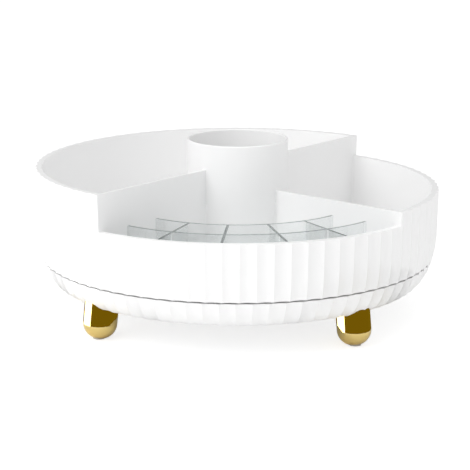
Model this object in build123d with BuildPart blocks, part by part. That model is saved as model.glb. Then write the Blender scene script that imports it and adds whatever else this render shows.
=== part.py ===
from build123d import *

import os
from math import asin, cos, degrees, radians, sin, sqrt, tan

# Round rotating make-up organizer. A fluted white tray with three compartments of stepped
# height and a tall brush cup turns on ball bearings over a fluted dish on four gold feet.
# A clear grid for lipsticks lifts out of the lowest compartment.
#
# Millimetres. Z is up and z = 0 is the table. The Z axis is the axis the tray turns about.
# The tray's long partition lies along X, its short one runs from the cup towards -Y.

# ---------------------------------------------------------------- driving sizes

# Fluted outside, shared by the tray and the dish under it
CREST_RADIUS = 140.0  # over the raised edges between the flutes, at the highest rim
WALL_DRAFT = 1.2  # degrees the outside closes in downwards
FLUTE_COUNT = 80
FLUTE_DEPTH = 1.2
CURVE_INSET = 17.5  # how far the wall draws in below, the curve being a quarter ellipse
CURVE_HEIGHT = 35.4
CURVE_TOP = 34.9  # where the curve meets the straight wall, above the dish's underside
TRAY_CURVE_STEPS = 2  # straight steps that follow the curve
DISH_CURVE_STEPS = 4
SEAM_GAP = 1.1  # shadow line between the tray and the dish

# Heights
FOOT_HEIGHT = 22.2  # table to the dish's underside
DISH_HEIGHT = 17.6
HIGH_WALL = 62.8  # rims above the tray's underside
MIDDLE_WALL = 47.7
LOW_WALL = 38.3
CUP_HEIGHT = 80.2

# Tray
TRAY_WALL = 4.6  # at the highest rim, over the raised edges
INSIDE_DRAFT = 1.5
TRAY_FLOOR = 2.6
PARTITION = 2.2
CUP_RADIUS = 34.9
CUP_WALL = 1.8
CUP_LIP_BEVEL = 0.5
FLOOR_BEVEL = 1.5  # inside, where the walls meet the floor
CORNER_ROUND = 2.0  # upright inside corners

# Lipstick grid
GRID_HEIGHT = 35.5
GRID_WALL = 1.8
GRID_INNER_ARC = 85.0
GRID_OUTER_ARC = 112.1
GRID_CELLS = 5
GRID_WALL_GAP = 0.6  # to the tray's outer wall
GRID_LONG_GAP = 0.4  # to the long partition
GRID_SHORT_GAP = 2.0  # to the short partition

# Dish
DISH_WALL = 3.6  # over the raised edges
DISH_WALL_STEPS = 3  # on its inside
DISH_FLOOR = 2.8
DISH_TURN = -10.0  # the dish and its feet against the tray, at rest

# Bearing
BALL_COUNT = 10
BALL_RADIUS = 2.0
BALL_CIRCLE = 60.0
BALL_PLAY = 0.1  # square to the grooves' sides
TRACK_GAP = 2.4  # between the two track rings, where the cage runs
TRACK_LAND = 2.0  # flat beside each groove
TRACK_DROP = 3.0  # the tray's track ring below its underside
CAGE_THICKNESS = 1.6
CAGE_BAND = 3.0  # cage material beside its windows
WINDOW_PLAY = 0.2

# Pivot
PIVOT_RADIUS = 8.0
PIVOT_PLAY = 0.05
PIVOT_LENGTH = 13.6  # hub pin below the tray's underside
SLEEVE_WALL = 3.0
SLEEVE_GAP = 1.0  # top of the dish's sleeve to the tray
AXIAL_PLAY = 0.3
WASHER_RADIUS = 12.0
WASHER_THICKNESS = 1.2
WASHER_SIDE_PLAY = 0.8

# Screws, which cut their own thread in plastic
THREAD_RADIUS = 1.75
THREAD_PLAY = 0.05
SCREW_HOLE_PLAY = 0.25
HEAD_RADIUS = 3.6
HEAD_HEIGHT = 2.2
HEAD_BEVEL = 0.7
CROSS_WIDTH = 0.8
CROSS_LENGTH = 3.6
CROSS_DEPTH = 1.2
PIVOT_SCREW_LENGTH = 12.0
FOOT_SCREW_LENGTH = 12.0

# Feet
FOOT_COUNT = 4
FOOT_RADIUS = 11.4
FOOT_CIRCLE = 120.2  # foot axis where it meets the table
FOOT_SPLAY = 7.0
FOOT_DOME = 10.4  # radius of the round between a foot's side and its end
FOOT_END = 1.0  # flat end above the dome's lowest point, along the foot
FOOT_SEAT = 6.4  # how deep a foot stands in its socket, below the dish's underside
SOCKET_PLAY = 0.1
SOCKET_WALL = 2.6
SOCKET_ROOF = 2.6
PAD_RADIUS = 4.0
PAD_TOP = 1.8  # top of a pad, up the foot's axis from the table
PAD_PLAY = 0.05

# ---------------------------------------------------------------- places worked out from them

FLUTE_STEP = 360 / FLUTE_COUNT

dish_bottom = FOOT_HEIGHT
dish_top = dish_bottom + DISH_HEIGHT
dish_floor = dish_bottom + DISH_FLOOR
tray_bottom = dish_top + SEAM_GAP
tray_floor = tray_bottom + TRAY_FLOOR
high_rim = tray_bottom + HIGH_WALL
middle_rim = tray_bottom + MIDDLE_WALL
low_rim = tray_bottom + LOW_WALL
cup_rim = tray_bottom + CUP_HEIGHT
curve_top = dish_bottom + CURVE_TOP
high_edge = PARTITION / 2  # faces of both partitions, from the axis

groove_radius = BALL_RADIUS + BALL_PLAY
groove_depth = groove_radius * sqrt(2) - TRACK_GAP / 2
track_width = 2 * (groove_depth + TRACK_LAND)
upper_track = tray_bottom - TRACK_DROP
ball_height = upper_track - TRACK_GAP / 2
lower_track = upper_track - TRACK_GAP

pivot_end = tray_bottom - PIVOT_LENGTH
ledge = pivot_end + AXIAL_PLAY
recess_radius = WASHER_RADIUS + WASHER_SIDE_PLAY
sleeve_radius = recess_radius + SLEEVE_WALL

foot_angles = [DISH_TURN + 360 / FOOT_COUNT * n for n in range(FOOT_COUNT)]
foot_names = ["right", "back", "left", "front"]
foot_top = dish_bottom + FOOT_SEAT


def polar(radius, angle):
    """A point on the level plane, at an angle from +X towards +Y."""
    return (radius * cos(radians(angle)), radius * sin(radians(angle)))


def curve_radius(height):
    """Radius over the flutes at a height: a drafted wall over a quarter ellipse."""
    wall = CREST_RADIUS - (high_rim - height) * tan(radians(WALL_DRAFT))
    drop = max(curve_top - height, 0) / CURVE_HEIGHT
    return wall - CURVE_INSET * (1 - sqrt(1 - drop**2))


def curve_heights(low, high, steps):
    """Heights between two on the curve, closer together where it bends more."""
    low_angle = asin((curve_top - low) / CURVE_HEIGHT)
    high_angle = asin((curve_top - high) / CURVE_HEIGHT)
    return [
        curve_top - CURVE_HEIGHT * sin(low_angle + (high_angle - low_angle) * n / steps)
        for n in range(steps + 1)
    ]


def inside_radius(height):
    """Radius of the tray's smooth inside at a height."""
    return CREST_RADIUS - TRAY_WALL - (high_rim - height) * tan(radians(INSIDE_DRAFT))


def flutes(crest, turn):
    """Closed outline of hollow flutes with a raised edge between each two."""
    hollow = crest * (1 - FLUTE_DEPTH / CREST_RADIUS)
    for n in range(FLUTE_COUNT):
        start = turn + n * FLUTE_STEP
        ThreePointArc(
            polar(crest, start),
            polar(hollow, start + FLUTE_STEP / 2),
            polar(crest, start + FLUTE_STEP),
        )


def fluted_block(heights, turn=0.0):
    """Solid inside the fluted outside, from the first height to the last."""
    with BuildPart() as block:
        for height in heights:
            with BuildSketch(Plane.XY.offset(height)):
                with BuildLine():
                    flutes(curve_radius(height), turn)
                make_face()
        loft(ruled=True)
    return block.part


def compartment(low_corner, high_corner, wall_gap=0.0):
    """Air between the tray's wall, the cup and the partitions, from the floor up.

    The corners are those of an upright box round it, with its sides on the partitions.
    """
    middle = tuple((low + high) / 2 for low, high in zip(low_corner, high_corner))
    width, depth = (high - low for low, high in zip(low_corner, high_corner))
    with BuildPart() as space:
        for height, inset in ((tray_floor, FLOOR_BEVEL), (tray_floor + FLOOR_BEVEL, 0), (cup_rim, 0)):
            with BuildSketch(Plane.XY.offset(height)) as outline:
                Circle(inside_radius(height) - wall_gap - inset)
                with Locations(middle):
                    Rectangle(width - 2 * inset, depth - 2 * inset, mode=Mode.INTERSECT)
                Circle(CUP_RADIUS + inset, mode=Mode.SUBTRACT)
                fillet(outline.vertices(), CORNER_ROUND - inset)
        loft(ruled=True)
    return space.part


def foot_plane(angle, height):
    """Plane across a foot's splayed axis, at a distance up that axis from the table."""
    along = Vector(*polar(-sin(radians(FOOT_SPLAY)), angle), cos(radians(FOOT_SPLAY)))
    start = Vector(*polar(FOOT_CIRCLE, angle), 0)
    return Plane(origin=start + along * height, x_dir=(*polar(1, angle + 90), 0), z_dir=along)


def pan_head_screw(plane, length):
    """Screw whose head stands on a plane and whose shank runs down from it."""
    with BuildPart() as screw:
        with BuildSketch(plane):
            Circle(HEAD_RADIUS)
        extrude(amount=HEAD_HEIGHT)
        head_top = screw.faces().sort_by(Axis(plane.origin, plane.z_dir))[-1]
        chamfer(head_top.edges(), HEAD_BEVEL)
        with BuildSketch(plane):
            Circle(THREAD_RADIUS)
        extrude(amount=-length)
        with BuildSketch(plane.offset(HEAD_HEIGHT)):
            Rectangle(CROSS_LENGTH, CROSS_WIDTH)
            Rectangle(CROSS_WIDTH, CROSS_LENGTH)
        extrude(amount=-CROSS_DEPTH, mode=Mode.SUBTRACT)
    return screw.part


def save(part, name):
    """Names a finished piece and writes it."""
    part.label = name
    export_step(part, f"parts/{name}.step")


os.makedirs("parts", exist_ok=True)

# ---------------------------------------------------------------- tray

tray_block = fluted_block([*curve_heights(tray_bottom, curve_top, TRAY_CURVE_STEPS), high_rim])
high_space = compartment((-CREST_RADIUS, high_edge), (CREST_RADIUS, CREST_RADIUS))
middle_space = compartment((high_edge, -CREST_RADIUS), (CREST_RADIUS, -high_edge))
low_space = compartment((-CREST_RADIUS, -CREST_RADIUS), (-high_edge, -high_edge))

with BuildPart() as tray:
    add(tray_block)

    # The rim steps down round the middle and the low compartment
    with BuildSketch(Plane.XY.offset(middle_rim)):
        with Locations((0, -high_edge)):
            Rectangle(3 * CREST_RADIUS, 2 * CREST_RADIUS, align=(Align.CENTER, Align.MAX))
    extrude(amount=high_rim - middle_rim, mode=Mode.SUBTRACT)
    with BuildSketch(Plane.XY.offset(low_rim)):
        with Locations((-high_edge, -high_edge)):
            Rectangle(2 * CREST_RADIUS, 2 * CREST_RADIUS, align=(Align.MAX, Align.MAX))
    extrude(amount=high_rim - low_rim, mode=Mode.SUBTRACT)

    for space in (high_space, middle_space, low_space):
        add(space, mode=Mode.SUBTRACT)

    # Brush cup
    with BuildSketch(Plane.XY.offset(tray_floor)):
        Circle(CUP_RADIUS)
    extrude(amount=CUP_HEIGHT - TRAY_FLOOR)
    with BuildSketch(Plane.XY.offset(tray_floor)):
        Circle(CUP_RADIUS - CUP_WALL)
    extrude(amount=CUP_HEIGHT - TRAY_FLOOR, mode=Mode.SUBTRACT)
    chamfer(tray.edges().group_by(Axis.Z)[-1], CUP_LIP_BEVEL)

    # Underneath: the grooved ring that runs on the balls, and the hub pin
    with BuildSketch(Plane.XZ):
        with Locations((BALL_CIRCLE, upper_track)):
            Rectangle(track_width, TRACK_DROP, align=(Align.CENTER, Align.MIN))
        with Locations((BALL_CIRCLE, ball_height)):
            Rectangle(2 * groove_radius, 2 * groove_radius, rotation=45, mode=Mode.SUBTRACT)
    revolve(axis=Axis.Z)
    with BuildSketch(Plane.XY.offset(tray_bottom)):
        Circle(PIVOT_RADIUS)
    extrude(amount=-PIVOT_LENGTH)
    with BuildSketch(Plane.XY.offset(pivot_end)):
        Circle(THREAD_RADIUS + THREAD_PLAY)
    extrude(amount=PIVOT_SCREW_LENGTH, mode=Mode.SUBTRACT)
save(tray.part, "tray")

# ---------------------------------------------------------------- lipstick grid

# Two arcs across the low compartment and ribs from the inner arc out to the tray's wall
grid_room = compartment(
    (-CREST_RADIUS, -CREST_RADIUS),
    (-high_edge - GRID_SHORT_GAP, -high_edge - GRID_LONG_GAP),
    GRID_WALL_GAP,
)
grid_start = 180 + degrees(asin((high_edge + GRID_LONG_GAP) / GRID_OUTER_ARC))
grid_end = 270 - degrees(asin((high_edge + GRID_SHORT_GAP) / GRID_OUTER_ARC))
rib_step = (grid_end - grid_start) / GRID_CELLS
rib_count = GRID_CELLS - 1
rib_length = CREST_RADIUS - GRID_INNER_ARC

with BuildPart() as grid:
    with BuildSketch(Plane.XY.offset(tray_floor)):
        for radius in (GRID_OUTER_ARC, GRID_INNER_ARC):
            Circle(radius + GRID_WALL / 2)
            Circle(radius - GRID_WALL / 2, mode=Mode.SUBTRACT)
        rib_middle = GRID_INNER_ARC + rib_length / 2
        with PolarLocations(rib_middle, rib_count, grid_start + rib_step, rib_step * rib_count):
            Rectangle(rib_length, GRID_WALL)
    extrude(amount=GRID_HEIGHT)
    add(grid_room, mode=Mode.INTERSECT)
save(grid.part, "lipstick_grid")

# ---------------------------------------------------------------- dish

dish_block = fluted_block(curve_heights(dish_bottom, dish_top, DISH_CURVE_STEPS), DISH_TURN)

with BuildPart() as dish_space:
    with BuildSketch(Plane.XZ):
        with BuildLine():
            steps = curve_heights(dish_floor, dish_top, DISH_WALL_STEPS)
            wall = [(curve_radius(height) - DISH_WALL, height) for height in steps]
            mouth = (wall[-1][0], tray_bottom)
            Polyline((0, dish_floor), *wall, mouth, (0, tray_bottom), close=True)
        make_face()
    revolve(axis=Axis.Z)

    # Left standing in it: the lower track, the pivot sleeve and the roofs of the foot sockets
    with BuildSketch(Plane.XZ):
        with Locations((BALL_CIRCLE, dish_floor)):
            Rectangle(track_width, lower_track - dish_floor, align=(Align.CENTER, Align.MIN))
    revolve(axis=Axis.Z, mode=Mode.SUBTRACT)
    with BuildSketch(Plane.XY.offset(dish_floor)):
        Circle(sleeve_radius)
    extrude(amount=tray_bottom - SLEEVE_GAP - dish_floor, mode=Mode.SUBTRACT)
    for angle in foot_angles:
        with BuildSketch(foot_plane(angle, 0)):
            Circle(FOOT_RADIUS + SOCKET_PLAY + SOCKET_WALL)
        extrude(amount=foot_top + SOCKET_ROOF, mode=Mode.SUBTRACT)

with BuildPart() as dish:
    add(dish_block)
    add(dish_space.part, mode=Mode.SUBTRACT)

    # Groove that the balls run in
    with BuildSketch(Plane.XZ):
        with Locations((BALL_CIRCLE, ball_height)):
            Rectangle(2 * groove_radius, 2 * groove_radius, rotation=45)
    revolve(axis=Axis.Z, mode=Mode.SUBTRACT)

    # Bore for the hub pin, and the recess for its washer and screw
    with BuildSketch(Plane.XY.offset(dish_bottom)):
        Circle(PIVOT_RADIUS + PIVOT_PLAY)
    extrude(amount=DISH_HEIGHT, mode=Mode.SUBTRACT)
    with BuildSketch(Plane.XY.offset(dish_bottom)):
        Circle(recess_radius)
    extrude(amount=ledge - dish_bottom, mode=Mode.SUBTRACT)

    for angle in foot_angles:
        with BuildSketch(foot_plane(angle, 0)):
            Circle(FOOT_RADIUS + SOCKET_PLAY)
        extrude(amount=foot_top, mode=Mode.SUBTRACT)
        with BuildSketch(foot_plane(angle, 0)):
            Circle(THREAD_RADIUS + SCREW_HOLE_PLAY)
        extrude(amount=dish_top, mode=Mode.SUBTRACT)
save(dish.part, "base_dish")

# ---------------------------------------------------------------- feet, pads and their screws

foot_screws = []
for angle, name in zip(foot_angles, foot_names):
    with BuildPart() as foot:
        with BuildSketch(foot_plane(angle, 0)):
            Circle(FOOT_RADIUS)
        extrude(amount=foot_top)
        fillet(foot.edges().sort_by(Axis.Z)[0], FOOT_DOME)
        # Flat end square to the foot, with a recess for its pad
        with BuildSketch(foot_plane(angle, 0)):
            Circle(FOOT_RADIUS)
        extrude(amount=FOOT_END, mode=Mode.SUBTRACT)
        with BuildSketch(foot_plane(angle, 0)):
            Circle(PAD_RADIUS + PAD_PLAY)
        extrude(amount=PAD_TOP, mode=Mode.SUBTRACT)
        with BuildSketch(foot_plane(angle, foot_top)):
            Circle(THREAD_RADIUS + THREAD_PLAY)
        extrude(amount=-FOOT_SCREW_LENGTH, mode=Mode.SUBTRACT)
    save(foot.part, f"foot_{name}")

    # A disc up the foot's axis, cut level where it stands on the table
    with BuildPart() as pad:
        with BuildSketch(foot_plane(angle, PAD_TOP)):
            Circle(PAD_RADIUS)
        extrude(amount=-2 * PAD_TOP)
        with BuildSketch(Plane.XY):
            with Locations(polar(FOOT_CIRCLE, angle)):
                Circle(FOOT_RADIUS)
        extrude(amount=-2 * PAD_TOP, mode=Mode.SUBTRACT)
    save(pad.part, f"foot_pad_{name}")

    roof = foot_plane(angle, foot_top + SOCKET_ROOF)
    foot_screws.append(pan_head_screw(roof, FOOT_SCREW_LENGTH))
save(Compound(children=foot_screws), "foot_screws")

# ---------------------------------------------------------------- bearing

with BuildPart() as cage:
    with BuildSketch(Plane.XY.offset(ball_height - CAGE_THICKNESS / 2)):
        Circle(BALL_CIRCLE + BALL_RADIUS + CAGE_BAND)
        Circle(BALL_CIRCLE - BALL_RADIUS - CAGE_BAND, mode=Mode.SUBTRACT)
        with PolarLocations(BALL_CIRCLE, BALL_COUNT):
            Circle(BALL_RADIUS + WINDOW_PLAY, mode=Mode.SUBTRACT)
    extrude(amount=CAGE_THICKNESS)
save(cage.part, "ball_cage")

for n in range(BALL_COUNT):
    with BuildPart() as ball:
        with Locations((*polar(BALL_CIRCLE, 360 / BALL_COUNT * n), ball_height)):
            Sphere(BALL_RADIUS)
    save(ball.part, f"bearing_ball_{n + 1:02d}")

# ---------------------------------------------------------------- pivot

with BuildPart() as washer:
    with BuildSketch(Plane.XY.offset(pivot_end)):
        Circle(WASHER_RADIUS)
        Circle(THREAD_RADIUS + SCREW_HOLE_PLAY, mode=Mode.SUBTRACT)
    extrude(amount=-WASHER_THICKNESS)
save(washer.part, "pivot_washer")

under_washer = Plane(origin=(0, 0, pivot_end - WASHER_THICKNESS), z_dir=(0, 0, -1))
save(pan_head_screw(under_washer, PIVOT_SCREW_LENGTH), "pivot_screw")
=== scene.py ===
import math

import bmesh
import bpy
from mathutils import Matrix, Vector

# A rotating make-up organizer: glossy white plastic, a clear lipstick grid and gold-plated feet,
# in soft studio light on a white table. Lengths are in metres.

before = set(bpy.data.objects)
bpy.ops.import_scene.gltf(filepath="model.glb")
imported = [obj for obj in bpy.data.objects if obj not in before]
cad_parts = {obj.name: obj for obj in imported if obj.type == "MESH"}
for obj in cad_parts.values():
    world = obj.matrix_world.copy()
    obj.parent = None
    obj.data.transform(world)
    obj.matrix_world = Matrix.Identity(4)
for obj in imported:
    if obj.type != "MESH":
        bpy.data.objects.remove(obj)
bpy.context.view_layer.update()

MM = 0.001

# ---------------------------------------------------------------- camera

SEAM_HEIGHT = 40.5 * MM  # the seam between tray and dish, which the camera was measured from
CAMERA_AZIMUTH = -50.0
CAMERA_ELEVATION = 14.19
CAMERA_DISTANCE = 1.1718
FOCAL_PIXELS = 1662.8
FRAME_PIXELS = 470
SENSOR_MM = 36.0
CLIP_NEAR, CLIP_FAR = 0.05, 50.0
SEAM_RIGHT_PIXELS = 2.45  # where the seam's centre lies from the middle of the frame
SEAM_BELOW_PIXELS = 15.4


def direction(azimuth, elevation):
    """Unit vector towards an azimuth, 0 at -Y and 90 at +X, and a height above the horizon."""
    a, e = math.radians(azimuth), math.radians(elevation)
    return Vector((math.sin(a) * math.cos(e), -math.cos(a) * math.cos(e), math.sin(e)))


def add_camera():
    """The photograph's view: its distance and lens come from the perspective of the rims."""
    back = direction(CAMERA_AZIMUTH, CAMERA_ELEVATION)
    right = Vector((0, 0, 1)).cross(back).normalized()
    up = back.cross(right)
    seam = Vector((0, 0, SEAM_HEIGHT))
    pixel = CAMERA_DISTANCE / FOCAL_PIXELS
    aim = seam + up * SEAM_BELOW_PIXELS * pixel - right * SEAM_RIGHT_PIXELS * pixel
    data = bpy.data.cameras.new("camera")
    data.sensor_width = SENSOR_MM
    data.lens = SENSOR_MM * FOCAL_PIXELS / FRAME_PIXELS
    data.clip_start, data.clip_end = CLIP_NEAR, CLIP_FAR
    camera = bpy.data.objects.new("camera", data)
    bpy.context.scene.collection.objects.link(camera)
    camera.location = seam + back * CAMERA_DISTANCE
    camera.rotation_mode = "QUATERNION"
    camera.rotation_quaternion = (aim - camera.location).to_track_quat("-Z", "Y")
    bpy.context.scene.camera = camera


add_camera()

# ---------------------------------------------------------------- shader tools


def linear(hex_colour, alpha=1.0):
    """An sRGB hex value as the linear colour that a shader takes."""
    channels = [int(hex_colour[n : n + 2], 16) / 255 for n in (1, 3, 5)]
    return (*(c / 12.92 if c <= 0.04045 else ((c + 0.055) / 1.055) ** 2.4 for c in channels), alpha)


def add_node(tree, kind, settings=None, sockets=None, links=None):
    """Adds a node, sets its properties and input values, and links inputs to other nodes' outputs."""
    node = tree.nodes.new(kind)
    for name, value in (settings or {}).items():
        setattr(node, name, value)
    for name, value in (sockets or {}).items():
        node.inputs[name].default_value = value
    for name, output in (links or {}).items():
        tree.links.new(output, node.inputs[name])
    return node


def new_material(name):
    """An empty node material and its tree."""
    material = bpy.data.materials.new(name)
    material.use_nodes = True
    material.node_tree.nodes.clear()
    return material, material.node_tree


def finish_material(tree, shader):
    """Links a shader to the material's output."""
    add_node(tree, "ShaderNodeOutputMaterial", links={"Surface": shader.outputs[0]})


# ---------------------------------------------------------------- materials

RIPPLE_WIDTH = 9 * MM  # the plastic's flow ripple
RIPPLE_DEPTH = 0.05 * MM
CLEAR_SHARE = 0.8  # of the light that goes straight through the grid, as its walls are thin
EDGE_SLOPE = 0.7  # faces that look up by more than this are the grid's top edges, which get a painted grey shade


def white_abs():
    """Injection-moulded ABS with a satin polish: broad soft highlights, a faint flow ripple."""
    material, tree = new_material("white_abs_satin")
    place = add_node(tree, "ShaderNodeTexCoord").outputs["Object"]
    ripple = add_node(
        tree,
        "ShaderNodeTexNoise",
        sockets={"Scale": 1 / RIPPLE_WIDTH, "Detail": 2.0},
        links={"Vector": place},
    )
    bump = add_node(
        tree,
        "ShaderNodeBump",
        sockets={"Strength": 0.15, "Distance": RIPPLE_DEPTH},
        links={"Height": ripple.outputs["Fac"]},
    )
    shader = add_node(
        tree,
        "ShaderNodeBsdfPrincipled",
        sockets={"Base Color": linear("#F9F9F9"), "Roughness": 0.34, "IOR": 1.53},
        links={"Normal": bump.outputs["Normal"]},
    )
    finish_material(tree, shader)
    return material


def clear_polystyrene():
    """Clear crystal polystyrene, moulded: glassy, with painted grey shade on its top edges where
    light draws dark lines, and no shadow on the tray.
    """
    material, tree = new_material("clear_polystyrene_moulded")
    glass = add_node(
        tree,
        "ShaderNodeBsdfPrincipled",
        sockets={
            "Base Color": linear("#FBFCFC"),
            "Roughness": 0.03,
            "IOR": 1.59,
            "Transmission Weight": 1.0,
        },
    )
    slope = add_node(
        tree,
        "ShaderNodeSeparateXYZ",
        links={0: add_node(tree, "ShaderNodeNewGeometry").outputs["Normal"]},
    )
    shaded_top_mask = add_node(
        tree,
        "ShaderNodeMath",
        {"operation": "GREATER_THAN"},
        {1: EDGE_SLOPE},
        {0: slope.outputs["Z"]},
    )
    # Painted shade: upward faces turn grey, standing in for the dark lines that light makes along the
    # clear top edges
    painted_top_shade = add_node(
        tree,
        "ShaderNodeMix",
        {"data_type": "RGBA"},
        {"A": linear("#FDFEFE"), "B": linear("#9EA3A3")},
        {"Factor": shaded_top_mask.outputs[0]},
    )
    clear = add_node(tree, "ShaderNodeBsdfTransparent", links={"Color": painted_top_shade.outputs["Result"]})
    path = add_node(tree, "ShaderNodeLightPath")
    lighting = add_node(
        tree,
        "ShaderNodeMath",
        {"operation": "MAXIMUM"},
        links={0: path.outputs["Is Shadow Ray"], 1: path.outputs["Is Diffuse Ray"]},
    )
    share = add_node(
        tree,
        "ShaderNodeMath",
        {"operation": "MAXIMUM"},
        {1: CLEAR_SHARE},
        {0: lighting.outputs[0]},
    )
    shader = add_node(
        tree,
        "ShaderNodeMixShader",
        links={"Fac": share.outputs[0], 1: glass.outputs[0], 2: clear.outputs[0]},
    )
    finish_material(tree, shader)
    return material


def gold_plating():
    """Electroplated gold over polished plastic: a mirror that tints what it reflects."""
    material, tree = new_material("gold_electroplated")
    shader = add_node(
        tree,
        "ShaderNodeBsdfPrincipled",
        sockets={"Base Color": linear("#E2C983"), "Metallic": 1.0, "Roughness": 0.05},
    )
    finish_material(tree, shader)
    return material


def plain(name, colour, roughness, metallic=0.0):
    """One colour and roughness, for the small pieces underneath and inside."""
    material, tree = new_material(name)
    shader = add_node(
        tree,
        "ShaderNodeBsdfPrincipled",
        sockets={"Base Color": linear(colour), "Roughness": roughness, "Metallic": metallic},
    )
    finish_material(tree, shader)
    return material


def paint(material, *names):
    """Gives CAD nodes a material."""
    for name in names:
        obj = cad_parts[name]
        obj.data.materials.clear()
        obj.data.materials.append(material)


def nodes_like(start):
    """Names of the CAD nodes that begin with a word."""
    return [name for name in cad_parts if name.startswith(start)]


paint(white_abs(), "tray", "base_dish")
paint(clear_polystyrene(), "lipstick_grid")
pads = nodes_like("foot_pad")
screws = ["foot_screws", "pivot_screw", "pivot_washer"]
feet = [name for name in nodes_like("foot_") if name not in pads + screws]
paint(gold_plating(), *feet)
paint(plain("silicone", "#C9C8C4", 0.55), *pads)
paint(plain("zinc_plated_steel", "#B9BCC0", 0.3, 1.0), *screws)
paint(plain("bearing_steel", "#C9CBCE", 0.1, 1.0), *nodes_like("bearing"))
paint(plain("acetal", "#E6E5DF", 0.5), "ball_cage")

# ---------------------------------------------------------------- smooth shading

SHARP_ANGLE = 24.0  # the flutes' raised edges and all corners are sharper, the curve's steps flatter
JOIN_DISTANCE = 0.002 * MM


def smooth_by_angle():
    """A modifier tree that joins the CAD faces' meshes and keeps only sharp edges sharp."""
    tree = bpy.data.node_groups.new("smooth_by_angle", "GeometryNodeTree")
    for way in ("INPUT", "OUTPUT"):
        tree.interface.new_socket("Geometry", in_out=way, socket_type="NodeSocketGeometry")
    start = add_node(tree, "NodeGroupInput")
    plain_normals = add_node(
        tree,
        "GeometryNodeRemoveAttribute",
        sockets={"Name": "custom_normal"},
        links={"Geometry": start.outputs[0]},
    )
    joined = add_node(
        tree,
        "GeometryNodeMergeByDistance",
        sockets={"Distance": JOIN_DISTANCE},
        links={"Geometry": plain_normals.outputs[0]},
    )
    smooth = add_node(
        tree,
        "GeometryNodeSetShadeSmooth",
        {"domain": "FACE"},
        {"Shade Smooth": True},
        {"Geometry": joined.outputs[0]},
    )
    angle = add_node(tree, "GeometryNodeInputMeshEdgeAngle")
    sharp = add_node(
        tree,
        "FunctionNodeCompare",
        {"data_type": "FLOAT", "operation": "GREATER_THAN"},
        {1: math.radians(SHARP_ANGLE)},
        {0: angle.outputs["Unsigned Angle"]},
    )
    edged = add_node(
        tree,
        "GeometryNodeSetShadeSmooth",
        {"domain": "EDGE"},
        {"Shade Smooth": False},
        {"Geometry": smooth.outputs[0], "Selection": sharp.outputs[0]},
    )
    add_node(tree, "NodeGroupOutput", links={0: edged.outputs[0]})
    return tree


shading = smooth_by_angle()
for name in ("tray", "base_dish"):
    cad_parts[name].modifiers.new("smooth", "NODES").node_group = shading

# ---------------------------------------------------------------- floor and light

FLOOR_RADIUS = 7.0
FLOOR_SIDES = 96
TABLE_GLOW = 0.76  # keeps the table white to the eye, with its shadow

# Two curved cards round each foot, seen only in mirrors: a dark one gives the plating its olive
# panel, a low bright one the upright stripe at its left
CARD_RADIUS = 45 * MM
CARD_STEP = 5.0  # degrees between a card's corners
CARD_FOOT = 0.5 * MM  # over the table
CARD_NEAREST = 30 * MM  # what is nearer to a card, such as the dish, doesn't mirror it
DARK_HEIGHT = 45 * MM
BRIGHT_HEIGHT = 14 * MM
LEANING_HEIGHTS = {"foot_left": 24 * MM}  # this foot leans so that its side mirrors higher up
BRIGHT_FROM = CAMERA_AZIMUTH - 122
BRIGHT_TO = CAMERA_AZIMUTH - 57


def add_floor():
    """A white table that runs out of view on all sides."""
    mesh = bpy.data.meshes.new("floor")
    shape = bmesh.new()
    bmesh.ops.create_circle(shape, cap_ends=True, radius=FLOOR_RADIUS, segments=FLOOR_SIDES)
    shape.to_mesh(mesh)
    shape.free()
    floor = bpy.data.objects.new("floor", mesh)
    bpy.context.scene.collection.objects.link(floor)
    material, tree = new_material("white_table")
    lit = add_node(tree, "ShaderNodeBsdfDiffuse", sockets={"Color": linear("#FFFFFF")})
    faint = add_node(tree, "ShaderNodeBsdfDiffuse", sockets={"Color": linear("#A8A8A8")})
    glow = add_node(
        tree, "ShaderNodeEmission", sockets={"Color": linear("#FFFFFF"), "Strength": TABLE_GLOW}
    )
    seen = add_node(tree, "ShaderNodeAddShader", links={0: faint.outputs[0], 1: glow.outputs[0]})
    path = add_node(tree, "ShaderNodeLightPath")
    shader = add_node(
        tree,
        "ShaderNodeMixShader",
        links={"Fac": path.outputs["Is Camera Ray"], 1: lit.outputs[0], 2: seen.outputs[0]},
    )
    finish_material(tree, shader)
    mesh.materials.append(material)


def add_world(level, mirrored):
    """White to the eye and through clear plastic, softer as light, dark in mirrors."""
    world = bpy.data.worlds.new("studio")
    bpy.context.scene.world = world
    world.use_nodes = True
    tree = world.node_tree
    tree.nodes.clear()
    path = add_node(tree, "ShaderNodeLightPath")
    seen = add_node(
        tree,
        "ShaderNodeMath",
        {"operation": "MAXIMUM"},
        links={0: path.outputs["Is Camera Ray"], 1: path.outputs["Is Transmission Ray"]},
    )
    unseen = add_node(
        tree,
        "ShaderNodeMapRange",
        sockets={"To Min": level, "To Max": mirrored},
        links={"Value": path.outputs["Is Glossy Ray"]},
    )
    strength = add_node(
        tree,
        "ShaderNodeMix",
        {"data_type": "FLOAT"},
        {"B": 1.0},
        {"Factor": seen.outputs[0], "A": unseen.outputs[0]},
    )
    background = add_node(
        tree,
        "ShaderNodeBackground",
        sockets={"Color": linear("#FFFFFF")},
        links={"Strength": strength.outputs[0]},
    )
    add_node(tree, "ShaderNodeOutputWorld", links={"Surface": background.outputs[0]})


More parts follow.
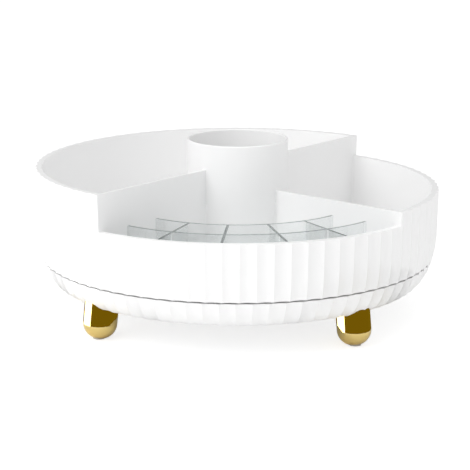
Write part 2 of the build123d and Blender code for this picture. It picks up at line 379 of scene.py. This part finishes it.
def add_card(name, place, height, first, last, colour, strength):
    """A curved card round a foot, between two azimuths, that is seen only in mirrors."""
    mesh = bpy.data.meshes.new(name)
    shape = bmesh.new()
    steps = round((last - first) / CARD_STEP)
    rings = []
    for level in (CARD_FOOT, height):
        foot = place + Vector((0, 0, level))
        turns = [first + (last - first) * n / steps for n in range(steps + 1)]
        rings.append([shape.verts.new(foot + direction(turn, 0) * CARD_RADIUS) for turn in turns])
    for n in range(steps):
        shape.faces.new((rings[0][n], rings[0][n + 1], rings[1][n + 1], rings[1][n]))
    shape.to_mesh(mesh)
    shape.free()
    card = bpy.data.objects.new(name, mesh)
    bpy.context.scene.collection.objects.link(card)
    for kind in ("camera", "diffuse", "transmission", "shadow", "volume_scatter"):
        setattr(card, f"visible_{kind}", False)
    material, tree = new_material(name)
    far = add_node(
        tree,
        "ShaderNodeMath",
        {"operation": "GREATER_THAN"},
        {1: CARD_NEAREST},
        {0: add_node(tree, "ShaderNodeLightPath").outputs["Ray Length"]},
    )
    power = add_node(
        tree,
        "ShaderNodeMath",
        {"operation": "MULTIPLY"},
        {1: strength},
        {0: far.outputs[0]},
    )
    shader = add_node(
        tree,
        "ShaderNodeEmission",
        sockets={"Color": linear(colour)},
        links={"Strength": power.outputs[0]},
    )
    finish_material(tree, shader)
    mesh.materials.append(material)


def add_lamp(name, azimuth, elevation, distance, size, watts):
    """A white square softbox that faces the object."""
    data = bpy.data.lights.new(name, "AREA")
    data.shape = "SQUARE"
    data.size = size
    data.energy = watts
    lamp = bpy.data.objects.new(name, data)
    bpy.context.scene.collection.objects.link(lamp)
    place = direction(azimuth, elevation) * distance
    lamp.location = place + Vector((0, 0, SEAM_HEIGHT))
    lamp.rotation_mode = "QUATERNION"
    lamp.rotation_quaternion = (-place).to_track_quat("-Z", "Y")


add_floor()
add_world(level=0.77, mirrored=0.12)
add_lamp("key", CAMERA_AZIMUTH - 52, elevation=38, distance=1.6, size=0.9, watts=8)
add_lamp("overhead", CAMERA_AZIMUTH, elevation=80, distance=1.6, size=1.4, watts=4)
for name in feet:
    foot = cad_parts[name]
    corners = [foot.matrix_world @ Vector(corner) for corner in foot.bound_box]
    middle = sum(corners, Vector()) / len(corners)
    place = Vector((middle.x, middle.y, 0))
    bright_height = LEANING_HEIGHTS.get(name, BRIGHT_HEIGHT)
    add_card(f"dark_{name}", place, DARK_HEIGHT, BRIGHT_TO, BRIGHT_FROM + 360, "#978218", 0.7)
    add_card(f"bright_{name}", place, bright_height, BRIGHT_FROM, BRIGHT_TO, "#FFFFFF", 5.0)
bpy.context.scene.view_settings.view_transform = "Standard"
